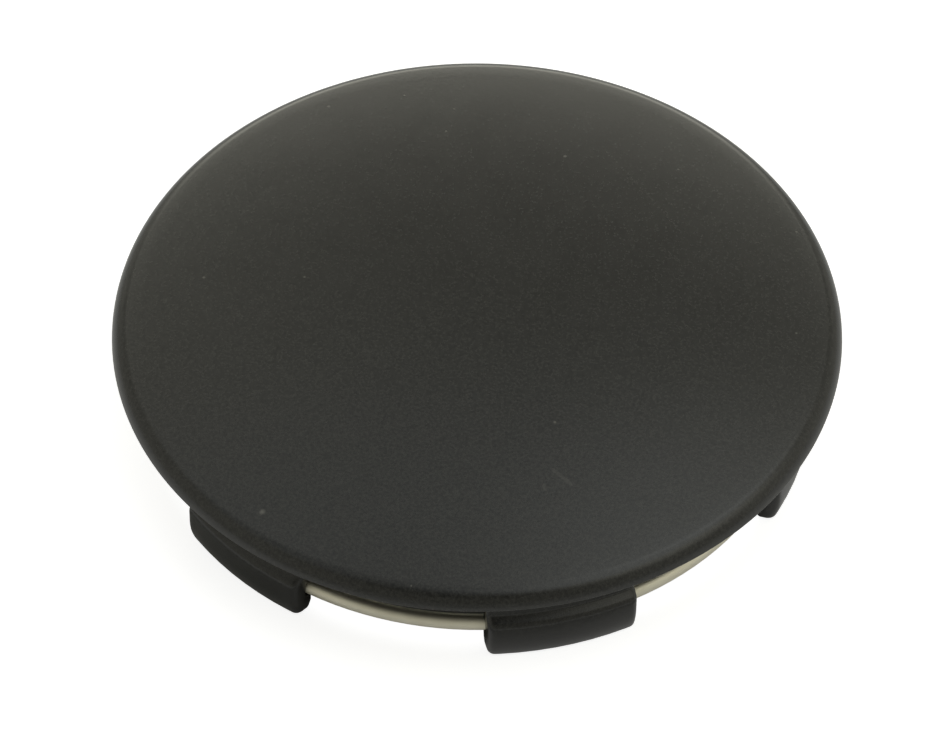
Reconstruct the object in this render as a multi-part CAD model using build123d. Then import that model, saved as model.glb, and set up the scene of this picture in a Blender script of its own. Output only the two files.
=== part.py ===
from build123d import *
import os
from math import pi, radians, sqrt, tan

# Wheel centre cap, millimetres, +Z out of the wheel
# The origin is on the axis, in the plane where the flange seats against the wheel

# Face and flange
face_d = 68.0
flange_w = 3.25
edge_h = 1.7
crown_h = 4.4
rim_round = 1.75
skin = 2.0
cavity_land = 1.2

# How the legs fit the wheel's bore, which the flange overlaps by its width
bore_lip = 4.5
bore_gap = 0.1
barb_grip = 0.85

# Retaining ring
wire_d = 1.5
wire_gap = 0.03
wire_above_toe = 2.85
ring_split = 3.0

# Snap legs
leg_count = 6
leg_w = 14.1
leg_draft = 1.0
leg_len = 9.65
leg_wall = 1.5
groove_depth = 0.6
lip_depth = 0.7
lip_h = 0.9
barb_rise = 0.65
lead_in_r = 6.0
lead_in_h = 2.65
toe_flat = 1.1
toe_round = 0.8
crest_round = 0.7
corner_round = 1.0
corner_drop = 0.15
end_chamfer = 0.55
root_sink = 0.4

# Radii and heights that follow
face_r = face_d / 2
bore_r = face_r - flange_w
neck_r = bore_r - bore_gap
barb_r = bore_r + barb_grip
groove_r = barb_r - leg_wall
wire_room = wire_d / 2 + wire_gap
ring_r = groove_r - wire_room
leg_in_r = groove_r - groove_depth
lip_r = groove_r - lip_depth
cavity_r = leg_in_r - cavity_land
ring_z = wire_above_toe - leg_len
lead_in_z = lead_in_h - leg_len


def rounded(face, corners):
    for at, radius in corners:
        face = fillet(face.vertices().sort_by_distance(Vector(*at))[0], radius)
    return face


# The face is part of a large ball that passes through the crown and the rim's sharp corner
ball_r = (face_r**2 + (crown_h - edge_h) ** 2) / (2 * (crown_h - edge_h))
ball_z = crown_h - ball_r


def ball(depth=0.0):
    return Pos(0, 0, ball_z) * Rot(0, 90, 0) * Sphere(ball_r - depth)


# The rim's rounding runs smoothly out of the ball and into the upright edge
rim_c = (face_r - rim_round, ball_z + sqrt((ball_r - rim_round) ** 2 - (face_r - rim_round) ** 2))
reach = ball_r / (ball_r - rim_round)
rim_in = (rim_c[0] * reach, ball_z + (rim_c[1] - ball_z) * reach)
rim_out = (face_r, rim_c[1])
rim_face = make_face(
    [
        Line((rim_in[0], 0), (face_r, 0)),
        Line((face_r, 0), rim_out),
        TangentArc(rim_out, rim_in, tangent=(0, 1)),
        Line(rim_in, (rim_in[0], 0)),
    ]
)
rim = revolve(Plane.XZ * rim_face, Axis.Z, 360)

# Dome inside the rim, hollowed to an even skin
dome = extrude(Circle(rim_in[0]), amount=crown_h + skin) & ball()
cavity = extrude(Circle(cavity_r), amount=crown_h) & ball(skin)
disc = dome + rim - cavity

# Leg section: neck, barb, lead-in, toe, lip under the wire, groove for the wire
lead_c = (barb_r - lead_in_r, lead_in_z)


def lead_in_at(z):
    return (lead_c[0] + sqrt(lead_in_r**2 - (z - lead_c[1]) ** 2), z)


neck_low = (neck_r, -bore_lip)
barb_top = (barb_r, -bore_lip - barb_rise)
lead_top = (barb_r, lead_in_z)
toe_out = lead_in_at(-leg_len)
lead_mid = lead_in_at((lead_top[1] + toe_out[1]) / 2)
toe_in = (toe_out[0] - toe_flat, -leg_len)
lip_z = ring_z - wire_room
leg_face = make_face(
    [
        Line((neck_r, root_sink), neck_low),
        Line(neck_low, barb_top),
        Line(barb_top, lead_top),
        ThreePointArc(lead_top, lead_mid, toe_out),
        Polyline(
            toe_out,
            toe_in,
            (lip_r, lip_z - lip_h),
            (lip_r, lip_z),
            (groove_r, lip_z),
            (groove_r, ring_z + wire_room),
            (leg_in_r, ring_z + wire_room),
            (leg_in_r, root_sink),
            (neck_r, root_sink),
        ),
    ]
)
leg_face = rounded(leg_face, [(barb_top, crest_round), (toe_out, toe_round)])
turned = Rot(0, 0, -180 / leg_count) * revolve(Plane.XZ * leg_face, Axis.Z, 360 / leg_count)

# Seen from the front, a leg's ends draw in slightly to toe corners rounded down to a crisp toe edge
slope = tan(radians(leg_draft))
cut_top = crown_h
cut_low = -leg_len - corner_drop


def half_width(z):
    return leg_w / 2 + (z - lead_in_z) * slope


half_top = half_width(cut_top)
half_low = half_width(cut_low)
front_face = make_face(
    Polyline(
        (-half_top, cut_top),
        (half_top, cut_top),
        (half_low, cut_low),
        (-half_low, cut_low),
        close=True,
    )
)
toe_corners = [((side * half_low, cut_low), corner_round) for side in (1, -1)]
front = extrude(Plane.YZ * rounded(front_face, toe_corners), amount=face_r)

# Seen from above, the barb's outer corners are cut off at 45 degrees at both ends
cut_out = sqrt(barb_r**2 - (leg_w / 2) ** 2) + leg_w / 2 - end_chamfer
plan_face = make_face(
    Polyline(
        (0, -half_top),
        (cut_out - half_top, -half_top),
        (cut_out, 0),
        (cut_out - half_top, half_top),
        (0, half_top),
        close=True,
    )
)
plan = Pos(0, 0, cut_low) * extrude(plan_face, amount=cut_top - cut_low)

leg = turned & front & plan
cap_body = disc
for spot in PolarLocations(0, leg_count):
    cap_body += spot * leg

# Split spring-wire ring in the legs' grooves, its ends between two legs
split_angle = 360 * ring_split / (2 * pi * ring_r)
wire_face = Plane.XZ * (Pos(ring_r, ring_z) * Circle(wire_d / 2))
retaining_ring = Rot(0, 0, 90 + split_angle / 2) * revolve(wire_face, Axis.Z, 360 - split_angle)

os.makedirs("parts", exist_ok=True)
export_step(cap_body, "parts/cap_body.step")
export_step(retaining_ring, "parts/retaining_ring.step")
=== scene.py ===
from math import atan2, cos, pi, radians, sin, sqrt, tan

import bmesh
import bpy
from mathutils import Matrix, Vector


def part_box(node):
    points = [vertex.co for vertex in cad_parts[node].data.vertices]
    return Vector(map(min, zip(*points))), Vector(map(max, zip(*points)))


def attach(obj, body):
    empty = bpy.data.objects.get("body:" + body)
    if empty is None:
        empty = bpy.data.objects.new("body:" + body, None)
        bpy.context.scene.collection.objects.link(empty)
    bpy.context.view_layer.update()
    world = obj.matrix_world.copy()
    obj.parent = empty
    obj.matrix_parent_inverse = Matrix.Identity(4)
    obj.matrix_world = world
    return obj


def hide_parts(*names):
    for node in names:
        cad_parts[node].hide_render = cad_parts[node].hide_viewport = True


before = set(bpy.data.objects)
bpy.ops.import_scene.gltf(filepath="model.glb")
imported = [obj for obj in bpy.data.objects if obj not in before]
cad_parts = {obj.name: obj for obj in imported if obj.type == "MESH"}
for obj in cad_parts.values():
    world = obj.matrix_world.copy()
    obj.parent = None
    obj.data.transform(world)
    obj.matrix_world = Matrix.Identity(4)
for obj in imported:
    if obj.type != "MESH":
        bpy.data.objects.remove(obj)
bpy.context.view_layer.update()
MM = 0.001

# Sizes in millimetres: the cap's box comes from the frame, and edges are softer than in the solids
cap_low, cap_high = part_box("cap_body")
FACE_R = cap_high.x / MM
CROWN_H = cap_high.z / MM
TOE_Z = cap_low.z / MM
EDGE_H = 1.7
RIM_ROUND = 1.75
SKIN = 2.0
CAVITY_R = 28.3
NECK_R = 30.65
NECK_H = 4.5
BARB_R = 31.6
BARB_TOP = -5.15
CREST_ROUND = 0.9
LEAD_IN_R = 6.0
LEAD_IN_Z = -7.0
TOE_FLAT = 1.1
TOE_ROUND = 0.8
LIP_R = 29.4
LIP_H = 0.9
GROOVE_R = 30.1
GROOVE_TOP = -6.02
GROOVE_LOW = -7.58
LEG_IN_R = 29.5
ROOT_SINK = 0.4
LEG_COUNT = 6
LEG_HALF = 7.05
LEG_DRAFT = radians(1.0)
LEG_SWEEP = radians(35.2)
END_ROUND = 0.55
SOFT_EDGE = 0.12
RIM_EDGE = 0.2
RING_R = 29.32

# How meshes are made: steps round the axis, nearness of points, and which edges are softened or shown sharp
DISC_STEPS = 192
LEG_STEPS = 11
SAME_POINT = 1e-4
ON_THE_CUT = 1e-5
SOFTENED_FROM = radians(28)
SHOWN_SHARP_FROM = radians(32)

# Which faces of a leg are its ends, and which face outward, by the parts of their normals
END_FACES = 0.99
OUTER_FACES = 0.05

# View, in degrees, millimetres and pixels
VIEW_AZIMUTH = 14.85
VIEW_ELEVATION = 48.172
VIEW_ROLL = 0.2354
VIEW_DISTANCE = 931.2
AIM_RIGHT = -0.191
AIM_DOWN = 2.9686
RIM_CENTRE_Z = 0.206
FRAME_WIDTH_PX = 950
FOCAL_PX = 10000
SENSOR_MM = 36

# The face is part of a large ball, and the rim's rounding runs out of it into the upright edge
BALL_R = (FACE_R**2 + (CROWN_H - EDGE_H) ** 2) / (2 * (CROWN_H - EDGE_H))
BALL_Z = CROWN_H - BALL_R
RIM_R = FACE_R - RIM_ROUND
RIM_Z = BALL_Z + sqrt((BALL_R - RIM_ROUND) ** 2 - RIM_R**2)
RIM_WAY = atan2(RIM_Z - BALL_Z, RIM_R)


class Pen:
    """Draws a profile of radius and height, clockwise, by extruding and spinning its tip."""

    def __init__(self, mesh, r, z):
        self.mesh = mesh
        self.first = self.tip = mesh.verts.new((r, 0, z))

    def line(self, *corners):
        for r, z in corners:
            self.tip = bmesh.ops.extrude_vert_indiv(self.mesh, verts=[self.tip])["verts"][0]
            self.tip.co = (r, 0, z)

    def arc(self, r, z, turn, steps):
        made = bmesh.ops.spin(
            self.mesh, geom=[self.tip], cent=(r, 0, z), axis=(0, 1, 0), angle=turn, steps=steps
        )
        self.tip = made["geom_last"][0]

    def close(self):
        self.mesh.edges.new((self.tip, self.first))


def spin_profile(mesh, start, sweep, steps):
    """Turns a drawn profile about the cap's axis."""
    bmesh.ops.rotate(mesh, verts=mesh.verts, matrix=Matrix.Rotation(start, 3, "Z"))
    geom = mesh.verts[:] + mesh.edges[:]
    full = sweep == 2 * pi
    bmesh.ops.spin(
        mesh, geom=geom, cent=(0, 0, 0), axis=(0, 0, 1), angle=sweep, steps=steps, use_merge=full
    )
    bmesh.ops.remove_doubles(mesh, verts=mesh.verts, dist=SAME_POINT)
    bmesh.ops.recalc_face_normals(mesh, faces=mesh.faces)


def cut(mesh, point, away):
    """Cuts off what lies beyond a plane and closes the cut."""
    geom = mesh.verts[:] + mesh.edges[:] + mesh.faces[:]
    bmesh.ops.bisect_plane(
        mesh, geom=geom, dist=ON_THE_CUT, plane_co=point, plane_no=away, clear_outer=True
    )
    bmesh.ops.holes_fill(mesh, edges=[edge for edge in mesh.edges if edge.is_boundary])


def round_edges(mesh, edges, radius, segments):
    bmesh.ops.bevel(
        mesh,
        geom=edges,
        offset=radius,
        segments=segments,
        profile=0.5,
        affect="EDGES",
        material=-1,
        clamp_overlap=True,
    )


def soften(mesh):
    """Breaks every sharp edge, as a mould does."""
    bmesh.ops.recalc_face_normals(mesh, faces=mesh.faces)
    sharp = [edge for edge in mesh.edges if edge.calc_face_angle(0) > SOFTENED_FROM]
    round_edges(mesh, sharp, SOFT_EDGE, segments=2)


def round_ends(mesh):
    """Rounds a leg's ends along its outer side and its toe."""
    bmesh.ops.recalc_face_normals(mesh, faces=mesh.faces)
    corners = []
    for end in mesh.faces:
        if abs(end.normal.y) < END_FACES:
            continue
        for edge in end.edges:
            beside = [face for face in edge.link_faces if face != end][0]
            low = max(corner.co.z for corner in edge.verts) < TOE_Z + SOFT_EDGE
            if beside.normal.x > OUTER_FACES or low:
                corners.append(edge)
    round_edges(mesh, corners, END_ROUND, segments=5)


def disc_mesh():
    """Domed face, round rim, flat seat and the hollow under the face."""
    mesh = bmesh.new()
    ceiling_r = BALL_R - SKIN
    ceiling_way = atan2(CAVITY_R, sqrt(ceiling_r**2 - CAVITY_R**2))
    pen = Pen(mesh, 0, CROWN_H)
    pen.arc(0, BALL_Z, pi / 2 - RIM_WAY, steps=24)
    pen.arc(RIM_R, RIM_Z, RIM_WAY, steps=14)
    pen.line((FACE_R, RIM_EDGE))
    pen.arc(FACE_R - RIM_EDGE, RIM_EDGE, pi / 2, steps=4)
    pen.line((CAVITY_R, 0), (CAVITY_R, BALL_Z + ceiling_r * cos(ceiling_way)))
    pen.arc(0, BALL_Z, -ceiling_way, steps=16)
    spin_profile(mesh, 0, 2 * pi, DISC_STEPS)
    soften(mesh)
    return mesh


def leg_mesh():
    """One snap leg: neck, barb, lead-in, toe, lip and wire groove between its two ends."""
    barb_way = atan2(BARB_R - NECK_R, -BARB_TOP - NECK_H)
    crest_r = BARB_R - CREST_ROUND
    crest_z = BARB_TOP - CREST_ROUND * tan(barb_way / 2)
    lead_r = BARB_R - LEAD_IN_R
    toe_r = lead_r + sqrt(LEAD_IN_R**2 - (LEAD_IN_Z - TOE_Z) ** 2)
    toe_round_z = TOE_Z + TOE_ROUND
    toe_round_r = lead_r + sqrt((LEAD_IN_R - TOE_ROUND) ** 2 - (LEAD_IN_Z - toe_round_z) ** 2)
    toe_way = atan2(LEAD_IN_Z - toe_round_z, toe_round_r - lead_r)

    mesh = bmesh.new()
    pen = Pen(mesh, NECK_R, ROOT_SINK)
    pen.line((NECK_R, -NECK_H))
    pen.line((crest_r + CREST_ROUND * cos(barb_way), crest_z + CREST_ROUND * sin(barb_way)))
    pen.arc(crest_r, crest_z, barb_way, steps=8)
    pen.line((BARB_R, LEAD_IN_Z))
    pen.arc(lead_r, LEAD_IN_Z, toe_way, steps=4)
    pen.arc(toe_round_r, toe_round_z, pi / 2 - toe_way, steps=7)
    pen.line((toe_r - TOE_FLAT, TOE_Z), (LIP_R, GROOVE_LOW - LIP_H), (LIP_R, GROOVE_LOW))
    pen.line((GROOVE_R, GROOVE_LOW), (GROOVE_R, GROOVE_TOP), (LEG_IN_R, GROOVE_TOP), (LEG_IN_R, ROOT_SINK))
    pen.close()
    spin_profile(mesh, -LEG_SWEEP / 2, LEG_SWEEP, LEG_STEPS)

    for side in (1, -1):
        cut(mesh, (0, side * LEG_HALF, LEAD_IN_Z), (0, side * cos(LEG_DRAFT), -sin(LEG_DRAFT)))
    round_ends(mesh)
    soften(mesh)
    return mesh


def new_piece(name, mesh):
    data = bpy.data.meshes.new(name)
    mesh.to_mesh(data)
    mesh.free()
    piece = bpy.data.objects.new(name, data)
    bpy.context.collection.objects.link(piece)
    return piece


def cap_moulding():
    """Disc and legs joined into one moulding, worked in millimetres and brought to metres at the end."""
    piece = new_piece("cap_moulding", disc_mesh())
    legs = leg_mesh()
    one_leg = legs.verts[:] + legs.edges[:] + legs.faces[:]
    bmesh.ops.spin(
        legs,
        geom=one_leg,
        cent=(0, 0, 0),
        axis=(0, 0, 1),
        angle=2 * pi * (LEG_COUNT - 1) / LEG_COUNT,
        steps=LEG_COUNT - 1,
        use_duplicate=True,
    )
    leg_set = new_piece("leg_set", legs)
    join = piece.modifiers.new("join", "BOOLEAN")
    join.operation = "UNION"
    join.solver = "EXACT"
    join.object = leg_set
    view = bpy.context.evaluated_depsgraph_get()
    joined = bpy.data.meshes.new_from_object(piece.evaluated_get(view))
    piece.modifiers.clear()
    piece.data = joined
    bpy.data.objects.remove(leg_set)
    joined.transform(Matrix.Scale(MM, 4))
    joined.shade_smooth()
    joined.set_sharp_from_angle(angle=SHOWN_SHARP_FROM)
    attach(piece, "root")
    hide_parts("cap_body")
    return piece


# Fine relief of the plastic's grain and the wire's drawing lines: depth in metres, and strength
RELIEF_DEPTH = 0.01 * MM
RELIEF_STRENGTH = 0.6


class Field:
    """A shader socket. Sums on it add Math nodes to its material."""

    def __init__(self, graph, socket):
        self.graph = graph
        self.socket = socket

    def maths(self, operation, *others):
        return self.graph.maths(operation, self, *others)

    def __add__(self, other):
        return self.maths("ADD", other)

    __radd__ = __add__

    def __mul__(self, other):
        return self.maths("MULTIPLY", other)

    __rmul__ = __mul__

    def __sub__(self, other):
        return self.maths("SUBTRACT", other)

    def __rsub__(self, other):
        return self.graph.maths("SUBTRACT", other, self)

    def root(self):
        return self.maths("SQRT")

    def at_least(self, other):
        return self.maths("MAXIMUM", other)

    def at_most(self, other):
        return self.maths("MINIMUM", other)

    def fade(self, start, end):
        """0 at start and before, 1 at end and after, smooth between them."""
        settings = {"interpolation_type": "SMOOTHSTEP"}
        return self.graph.add("ShaderNodeMapRange", settings, {0: self, 1: start, 2: end, 3: 0.0, 4: 1.0})


class Graph:
    """The node tree of one material or the world."""

    def __init__(self, owner):
        owner.use_nodes = True
        self.tree = owner.node_tree
        self.tree.nodes.clear()

    def add(self, kind, settings=None, inputs=None, out=0):
        node = self.tree.nodes.new(kind)
        for name, value in (settings or {}).items():
            setattr(node, name, value)
        for name, value in (inputs or {}).items():
            if isinstance(value, Field):
                self.tree.links.new(value.socket, node.inputs[name])
            else:
                node.inputs[name].default_value = value
        return Field(self, node.outputs[out]) if len(node.outputs) else node

    def maths(self, operation, *values):
        return self.add("ShaderNodeMath", {"operation": operation}, dict(enumerate(values)))

    def place(self):
        """Object coordinates in millimetres."""
        at = self.add("ShaderNodeTexCoord", out="Object")
        return self.add("ShaderNodeVectorMath", {"operation": "SCALE"}, {0: at, "Scale": 1 / MM})

    def parts(self, vector):
        split = self.add("ShaderNodeSeparateXYZ", None, {0: vector}).socket.node
        return [Field(self, output) for output in split.outputs]

    def noise(self, vector, size, detail, rough):
        """Noise from 0 to 1 with blotches of about this size, in the vector's units."""
        inputs = {"Vector": vector, "Scale": 1 / size, "Detail": detail, "Roughness": rough}
        return self.add("ShaderNodeTexNoise", None, inputs)

    def mix(self, factor, first, second):
        """Colours mixed by a factor."""
        settings = {"data_type": "RGBA"}
        return self.add("ShaderNodeMix", settings, {0: factor, 6: first, 7: second}, out=2)

    def relief(self, height):
        inputs = {"Height": height, "Distance": RELIEF_DEPTH, "Strength": RELIEF_STRENGTH}
        return self.add("ShaderNodeBump", None, inputs)

    def surface(self, inputs):
        shader = self.add("ShaderNodeBsdfPrincipled", None, inputs)
        self.add("ShaderNodeOutputMaterial", None, {"Surface": shader})


def new_material(name):
    made = bpy.data.materials.new(name)
    return made, Graph(made)


# Marks on the face show above these heights, in millimetres
MARKS_FROM = (0.5, 1.5)

# Pale dust specks on the face: place and width in millimetres
DUST_STRENGTH = 0.25
DUST = [
    (2.9, 21.1, 0.35),
    (13.5, 22.8, 0.25),
    (26.0, 18.6, 0.25),
    (29.1, 5.9, 0.25),
    (-20.6, 22.5, 0.3),
    (-14.0, 25.6, 0.25),
    (-8.9, 24.8, 0.25),
    (-8.8, 21.5, 0.25),
    (-25.8, -2.2, 0.3),
    (-16.5, -0.5, 0.25),
    (-12.8, -28.1, 0.58),
    (10.6, -11.9, 0.3),
    (2.6, -32.8, 0.2),
]

# Faint scuffs on the face: both ends, width in millimetres and strength
SCUFFS = [
    ((11.8, -17.2), (13.8, -18.3), 0.4, 0.06),
    ((11.4, -19.1), (11.7, -19.6), 0.35, 0.05),
    ((6.4, 23.0), (15.6, 14.8), 0.3, 0.02),
]


def mark(x, y, start, end, width):
    """1 along a short line, fading to 0 at its edge."""
    run = Vector(end) - Vector(start)
    share = run / max(run.length_squared, width**2)
    along = ((x - start[0]) * share.x + (y - start[1]) * share.y).at_least(0).at_most(1)
    off_x = x - start[0] - along * run.x
    off_y = y - start[1] - along * run.y
    return 1 - (off_x * off_x + off_y * off_y).root().fade(0.1 * width, 0.7 * width)


def black_plastic():
    """Satin black moulding with a fine grain, dust specks and faint scuffs on its face."""
    made, g = new_material("satin_black_plastic")
    at = g.place()
    x, y, z = g.parts(at)

    pale = 0
    for speck_x, speck_y, width in DUST:
        pale = pale + mark(x, y, (speck_x, speck_y), (speck_x, speck_y), width) * DUST_STRENGTH
    for start, end, width, strength in SCUFFS:
        pale = pale + mark(x, y, start, end, width) * strength
    pale = pale * z.fade(*MARKS_FROM)

    black, charcoal = (0.0005, 0.0005, 0.0004, 1), (0.0235, 0.0235, 0.021, 1)
    dust = (0.3, 0.29, 0.26, 1)
    grain = g.noise(at, size=0.28, detail=2.0, rough=0.65)
    mottle = g.noise(at, size=5.0, detail=3.0, rough=0.6)
    tone = g.mix(pale, g.mix(grain.fade(0.18, 0.82), black, charcoal), dust)
    rough = 0.20 + mottle * 0.05 + grain * 0.03
    g.surface({"Base Color": tone, "Roughness": rough, "IOR": 1.5, "Normal": g.relief(grain)})
    return made


def spring_wire():
    """Bare drawn steel wire with fine lines along it."""
    made, g = new_material("drawn_steel_wire")
    at = g.place()
    x, y, z = g.parts(at)
    out = (x * x + y * y).root()
    along = g.maths("ARCTAN2", y, x) * RING_R
    drawn_out = 0.05
    lines_at = g.add("ShaderNodeCombineXYZ", None, {0: along * drawn_out, 1: out, 2: z})
    lines = g.noise(lines_at, size=0.12, detail=3.0, rough=0.6)
    stain = g.noise(at, size=3.0, detail=3.0, rough=0.6)
    dull, bright = (0.74, 0.7, 0.57, 1), (0.88, 0.85, 0.73, 1)
    tone = g.mix(stain, dull, bright)
    rough = 0.46 + lines * 0.12
    g.surface({"Base Color": tone, "Metallic": 1.0, "Roughness": rough, "Normal": g.relief(lines)})
    return made


def dress(piece, material):
    piece.data.materials.clear()
    piece.data.materials.append(material)


# Floor zones: millimetres from the axis, or towards the viewer, where each starts and where it is full
# OPEN_AIR: where the floor's painted shade under the cap gives way to its own pale colour
OPEN_AIR = (RING_R - 0.8, RING_R + 2.2)
PAST_WIRE = (RING_R - 2.6, RING_R - 1.7)
# The painted pool of light and the far painted reflection, which glow for glossy rays only
PAINTED_POOL_FROM = (14, 26)
PAINTED_POOL_ENDS = (33, 36)
PAINTED_FAR_FROM = (38, 44)
PAINTED_FAR_ENDS = (48, 60)

# Floor: half its side in metres, the turn in degrees of the painted pool of light that only reflections
# show, and how strong the glows are
FLOOR_SIZE = 2.0
PAINTED_POOL_TURN = 25
OPEN_AIR_DIMMED = 0.2
PAINTED_REFLECTION_STRENGTH = 0.23


def floor_sheet():
    mesh = bmesh.new()
    bmesh.ops.create_grid(mesh, x_segments=1, y_segments=1, size=FLOOR_SIZE)
    bmesh.ops.translate(mesh, verts=mesh.verts, vec=(0, 0, cap_low.z))
    floor = new_piece("floor", mesh)
    return floor


def white_floor():
    """Pale around the cap with painted shade under it, lit up to white for the camera out from behind the
    wire, with painted reflections that only glossy rays see.
    """
    made, g = new_material("white_floor")
    x, y, _ = g.parts(g.place())
    out = (x * x + y * y).root()

    def towards_viewer(turn):
        way = radians(VIEW_AZIMUTH + turn)
        return x * sin(way) - y * cos(way)

    open_air = out.fade(*OPEN_AIR)
    # Painted pool of light on the floor in front of the cap, seen only in glossy reflections
    painted_light_pool = open_air * towards_viewer(PAINTED_POOL_TURN).fade(*PAINTED_POOL_FROM) * (1 - out.fade(*PAINTED_POOL_ENDS))
    # Far painted reflection: the floor further out glows for glossy rays, less towards the viewer
    far_painted_reflection = out.fade(*PAINTED_FAR_FROM) * (1 - towards_viewer(0).fade(*PAINTED_FAR_ENDS))
    path = g.add("ShaderNodeLightPath").socket.node
    kinds = ("Camera", "Transmission", "Glossy")
    to_camera, to_glass, to_gloss = [Field(g, path.outputs[f"Is {kind} Ray"]) for kind in kinds]
    # The camera sees white only out past the wire, so the painted shade under the cap shows through the gap
    # above the wire
    seen = (to_camera + to_glass) * out.fade(*PAST_WIRE) * (1 - open_air * OPEN_AIR_DIMMED)
    # Painted reflection: these zones glow for glossy rays only, so the legs and wire mirror a brighter
    # floor
    painted_reflection_glow = to_gloss * (painted_light_pool + far_painted_reflection) * PAINTED_REFLECTION_STRENGTH

    # Painted shade: the floor's colour is darker under the cap, where the cap's shadow falls
    painted_shade_under_cap, around_cap = (0.25, 0.25, 0.25, 1), (0.62, 0.62, 0.62, 1)
    paint_with_shade = g.mix(open_air, painted_shade_under_cap, around_cap)
    cover = g.add("ShaderNodeBsdfDiffuse", None, {"Color": paint_with_shade})
    unlit, white = (0, 0, 0, 1), (1, 1, 1, 1)
    # White backdrop for the camera out past the wire, plus the painted reflection glow
    backdrop_and_painted_reflection = g.mix(seen + painted_reflection_glow, unlit, white)
    glow = g.add("ShaderNodeEmission", None, {"Color": backdrop_and_painted_reflection, "Strength": 1.0})
    both = g.add("ShaderNodeAddShader", None, {0: cover, 1: glow})
    g.add("ShaderNodeOutputMaterial", None, {"Surface": both})
    return made


# Room zones: parts of a unit direction, where each starts and where it is full
WALL_BACK = (-0.2, 0.4)
WALL_LOW = (0.03, 0.13)
WALL_TOP = (0.345, 0.57)
WALL_ARCH = 2.14
WALL_FOOT_TOP = (0.38, 0.48)
WALL_SIDES = (0.18, 0.42)
CEILING_FROM = (0.75, 0.87)
SIDES_FROM = (0.3, 0.8)

# How strong each zone is, and the shade behind the camera
ALL_ROUND_LIGHT = 0.36
CEILING_LIGHT = 0.15
SIDES_LIGHT = 0.16
WALL_LIGHT = 2.25
WALL_FOOT_LIGHT = 0.9
SHADE = (180, 58.4, 32.6)
SHADE_DEPTH = 0.56

# Soft lights of the room, in degrees right of straight back, up and across, and how strong they are
ROOM_LIGHTS = [
    (37, 63, 19, 0.95),
    (-31, 54, 22, 0.32),
    (110, 62, 36, 0.9),
    (-75, 25, 45, 0.06),
    (50, 10, 32, 0.08),
    (35, 17, 16, 0.2),
    (65, 45, 24, 0.15),
    (85, 17, 28, 0.2),
    (-30, 16, 19, 0.3),
]


def light_room():
    """A bright warm wall low down at the back, a pale ceiling, soft lights, and shade behind the camera."""
    world = bpy.data.worlds.new("room")
    bpy.context.scene.world = world
    g = Graph(world)
    way = g.add("ShaderNodeTexCoord", out="Generated")
    turn = (0, 0, radians(-VIEW_AZIMUTH))
    turned = g.add("ShaderNodeMapping", {"vector_type": "POINT"}, {"Vector": way, "Rotation": turn})
    to_right, to_back, up = g.parts(turned)
    aside = to_right.maths("ABSOLUTE")

    def soft_spot(side, height, width):
        """1 in the middle of a round spot, so many degrees right of straight back, up and across."""
        turn, rise = radians(side), radians(height)
        middle = (sin(turn) * cos(rise), cos(turn) * cos(rise), sin(rise))
        product = {"operation": "DOT_PRODUCT"}
        near = g.add("ShaderNodeVectorMath", product, {0: turned, 1: middle}, out="Value")
        return near.fade(cos(radians(width)), 1.0)

    back = to_back.fade(*WALL_BACK) * up.fade(*WALL_LOW) * (1 - aside.fade(*WALL_SIDES))
    wall = back * (1 - (up - to_right * to_right * WALL_ARCH).fade(*WALL_TOP))
    wall_foot = back * (1 - up.fade(*WALL_FOOT_TOP))
    ceiling = up.fade(*CEILING_FROM)
    all_round = ALL_ROUND_LIGHT + ceiling * CEILING_LIGHT + aside.fade(*SIDES_FROM) * SIDES_LIGHT
    light = all_round * (1 - soft_spot(*SHADE) * SHADE_DEPTH)
    light = light + wall * WALL_LIGHT + wall_foot * WALL_FOOT_LIGHT
    for side, height, width, strength in ROOM_LIGHTS:
        light = light + soft_spot(side, height, width) * strength

    warm, cool = (1.0, 0.985, 0.86, 1), (0.97, 1.0, 0.97, 1)
    tint = g.mix(ceiling, warm, cool)
    room = g.add("ShaderNodeBackground", None, {"Color": tint, "Strength": light})
    white = g.add("ShaderNodeBackground", None, {"Color": (1, 1, 1, 1), "Strength": 1.0})
    to_camera = g.add("ShaderNodeLightPath", out="Is Camera Ray")
    shown = g.add("ShaderNodeMixShader", None, {0: to_camera, 1: room, 2: white})
    g.add("ShaderNodeOutputWorld", None, {"Surface": shown})


def place_camera():
    """The photograph's viewing angle from far away, aimed just below the cap's middle."""
    turn, rise, roll = radians(VIEW_AZIMUTH), radians(VIEW_ELEVATION), radians(VIEW_ROLL)
    toward = Vector((sin(turn) * cos(rise), -cos(turn) * cos(rise), sin(rise)))
    level = Vector((cos(turn), sin(turn), 0))
    upright = toward.cross(level)
    across = level * cos(roll) + upright * sin(roll)
    upward = upright * cos(roll) - level * sin(roll)
    aim = Vector((0, 0, RIM_CENTRE_Z)) + across * AIM_RIGHT - upward * AIM_DOWN

    data = bpy.data.cameras.new("camera")
    data.sensor_width = SENSOR_MM
    data.lens = SENSOR_MM * FOCAL_PX / FRAME_WIDTH_PX
    data.clip_start = 0.05
    data.clip_end = 20
    camera = bpy.data.objects.new("camera", data)
    bpy.context.collection.objects.link(camera)
    place = Matrix((across, upward, toward)).transposed().to_4x4()
    place.translation = (aim + toward * VIEW_DISTANCE) * MM
    camera.matrix_world = place
    bpy.context.scene.camera = camera


dress(cap_moulding(), black_plastic())
dress(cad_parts["retaining_ring"], spring_wire())
dress(floor_sheet(), white_floor())
light_room()
place_camera()
bpy.context.scene.view_settings.view_transform = "Standard"
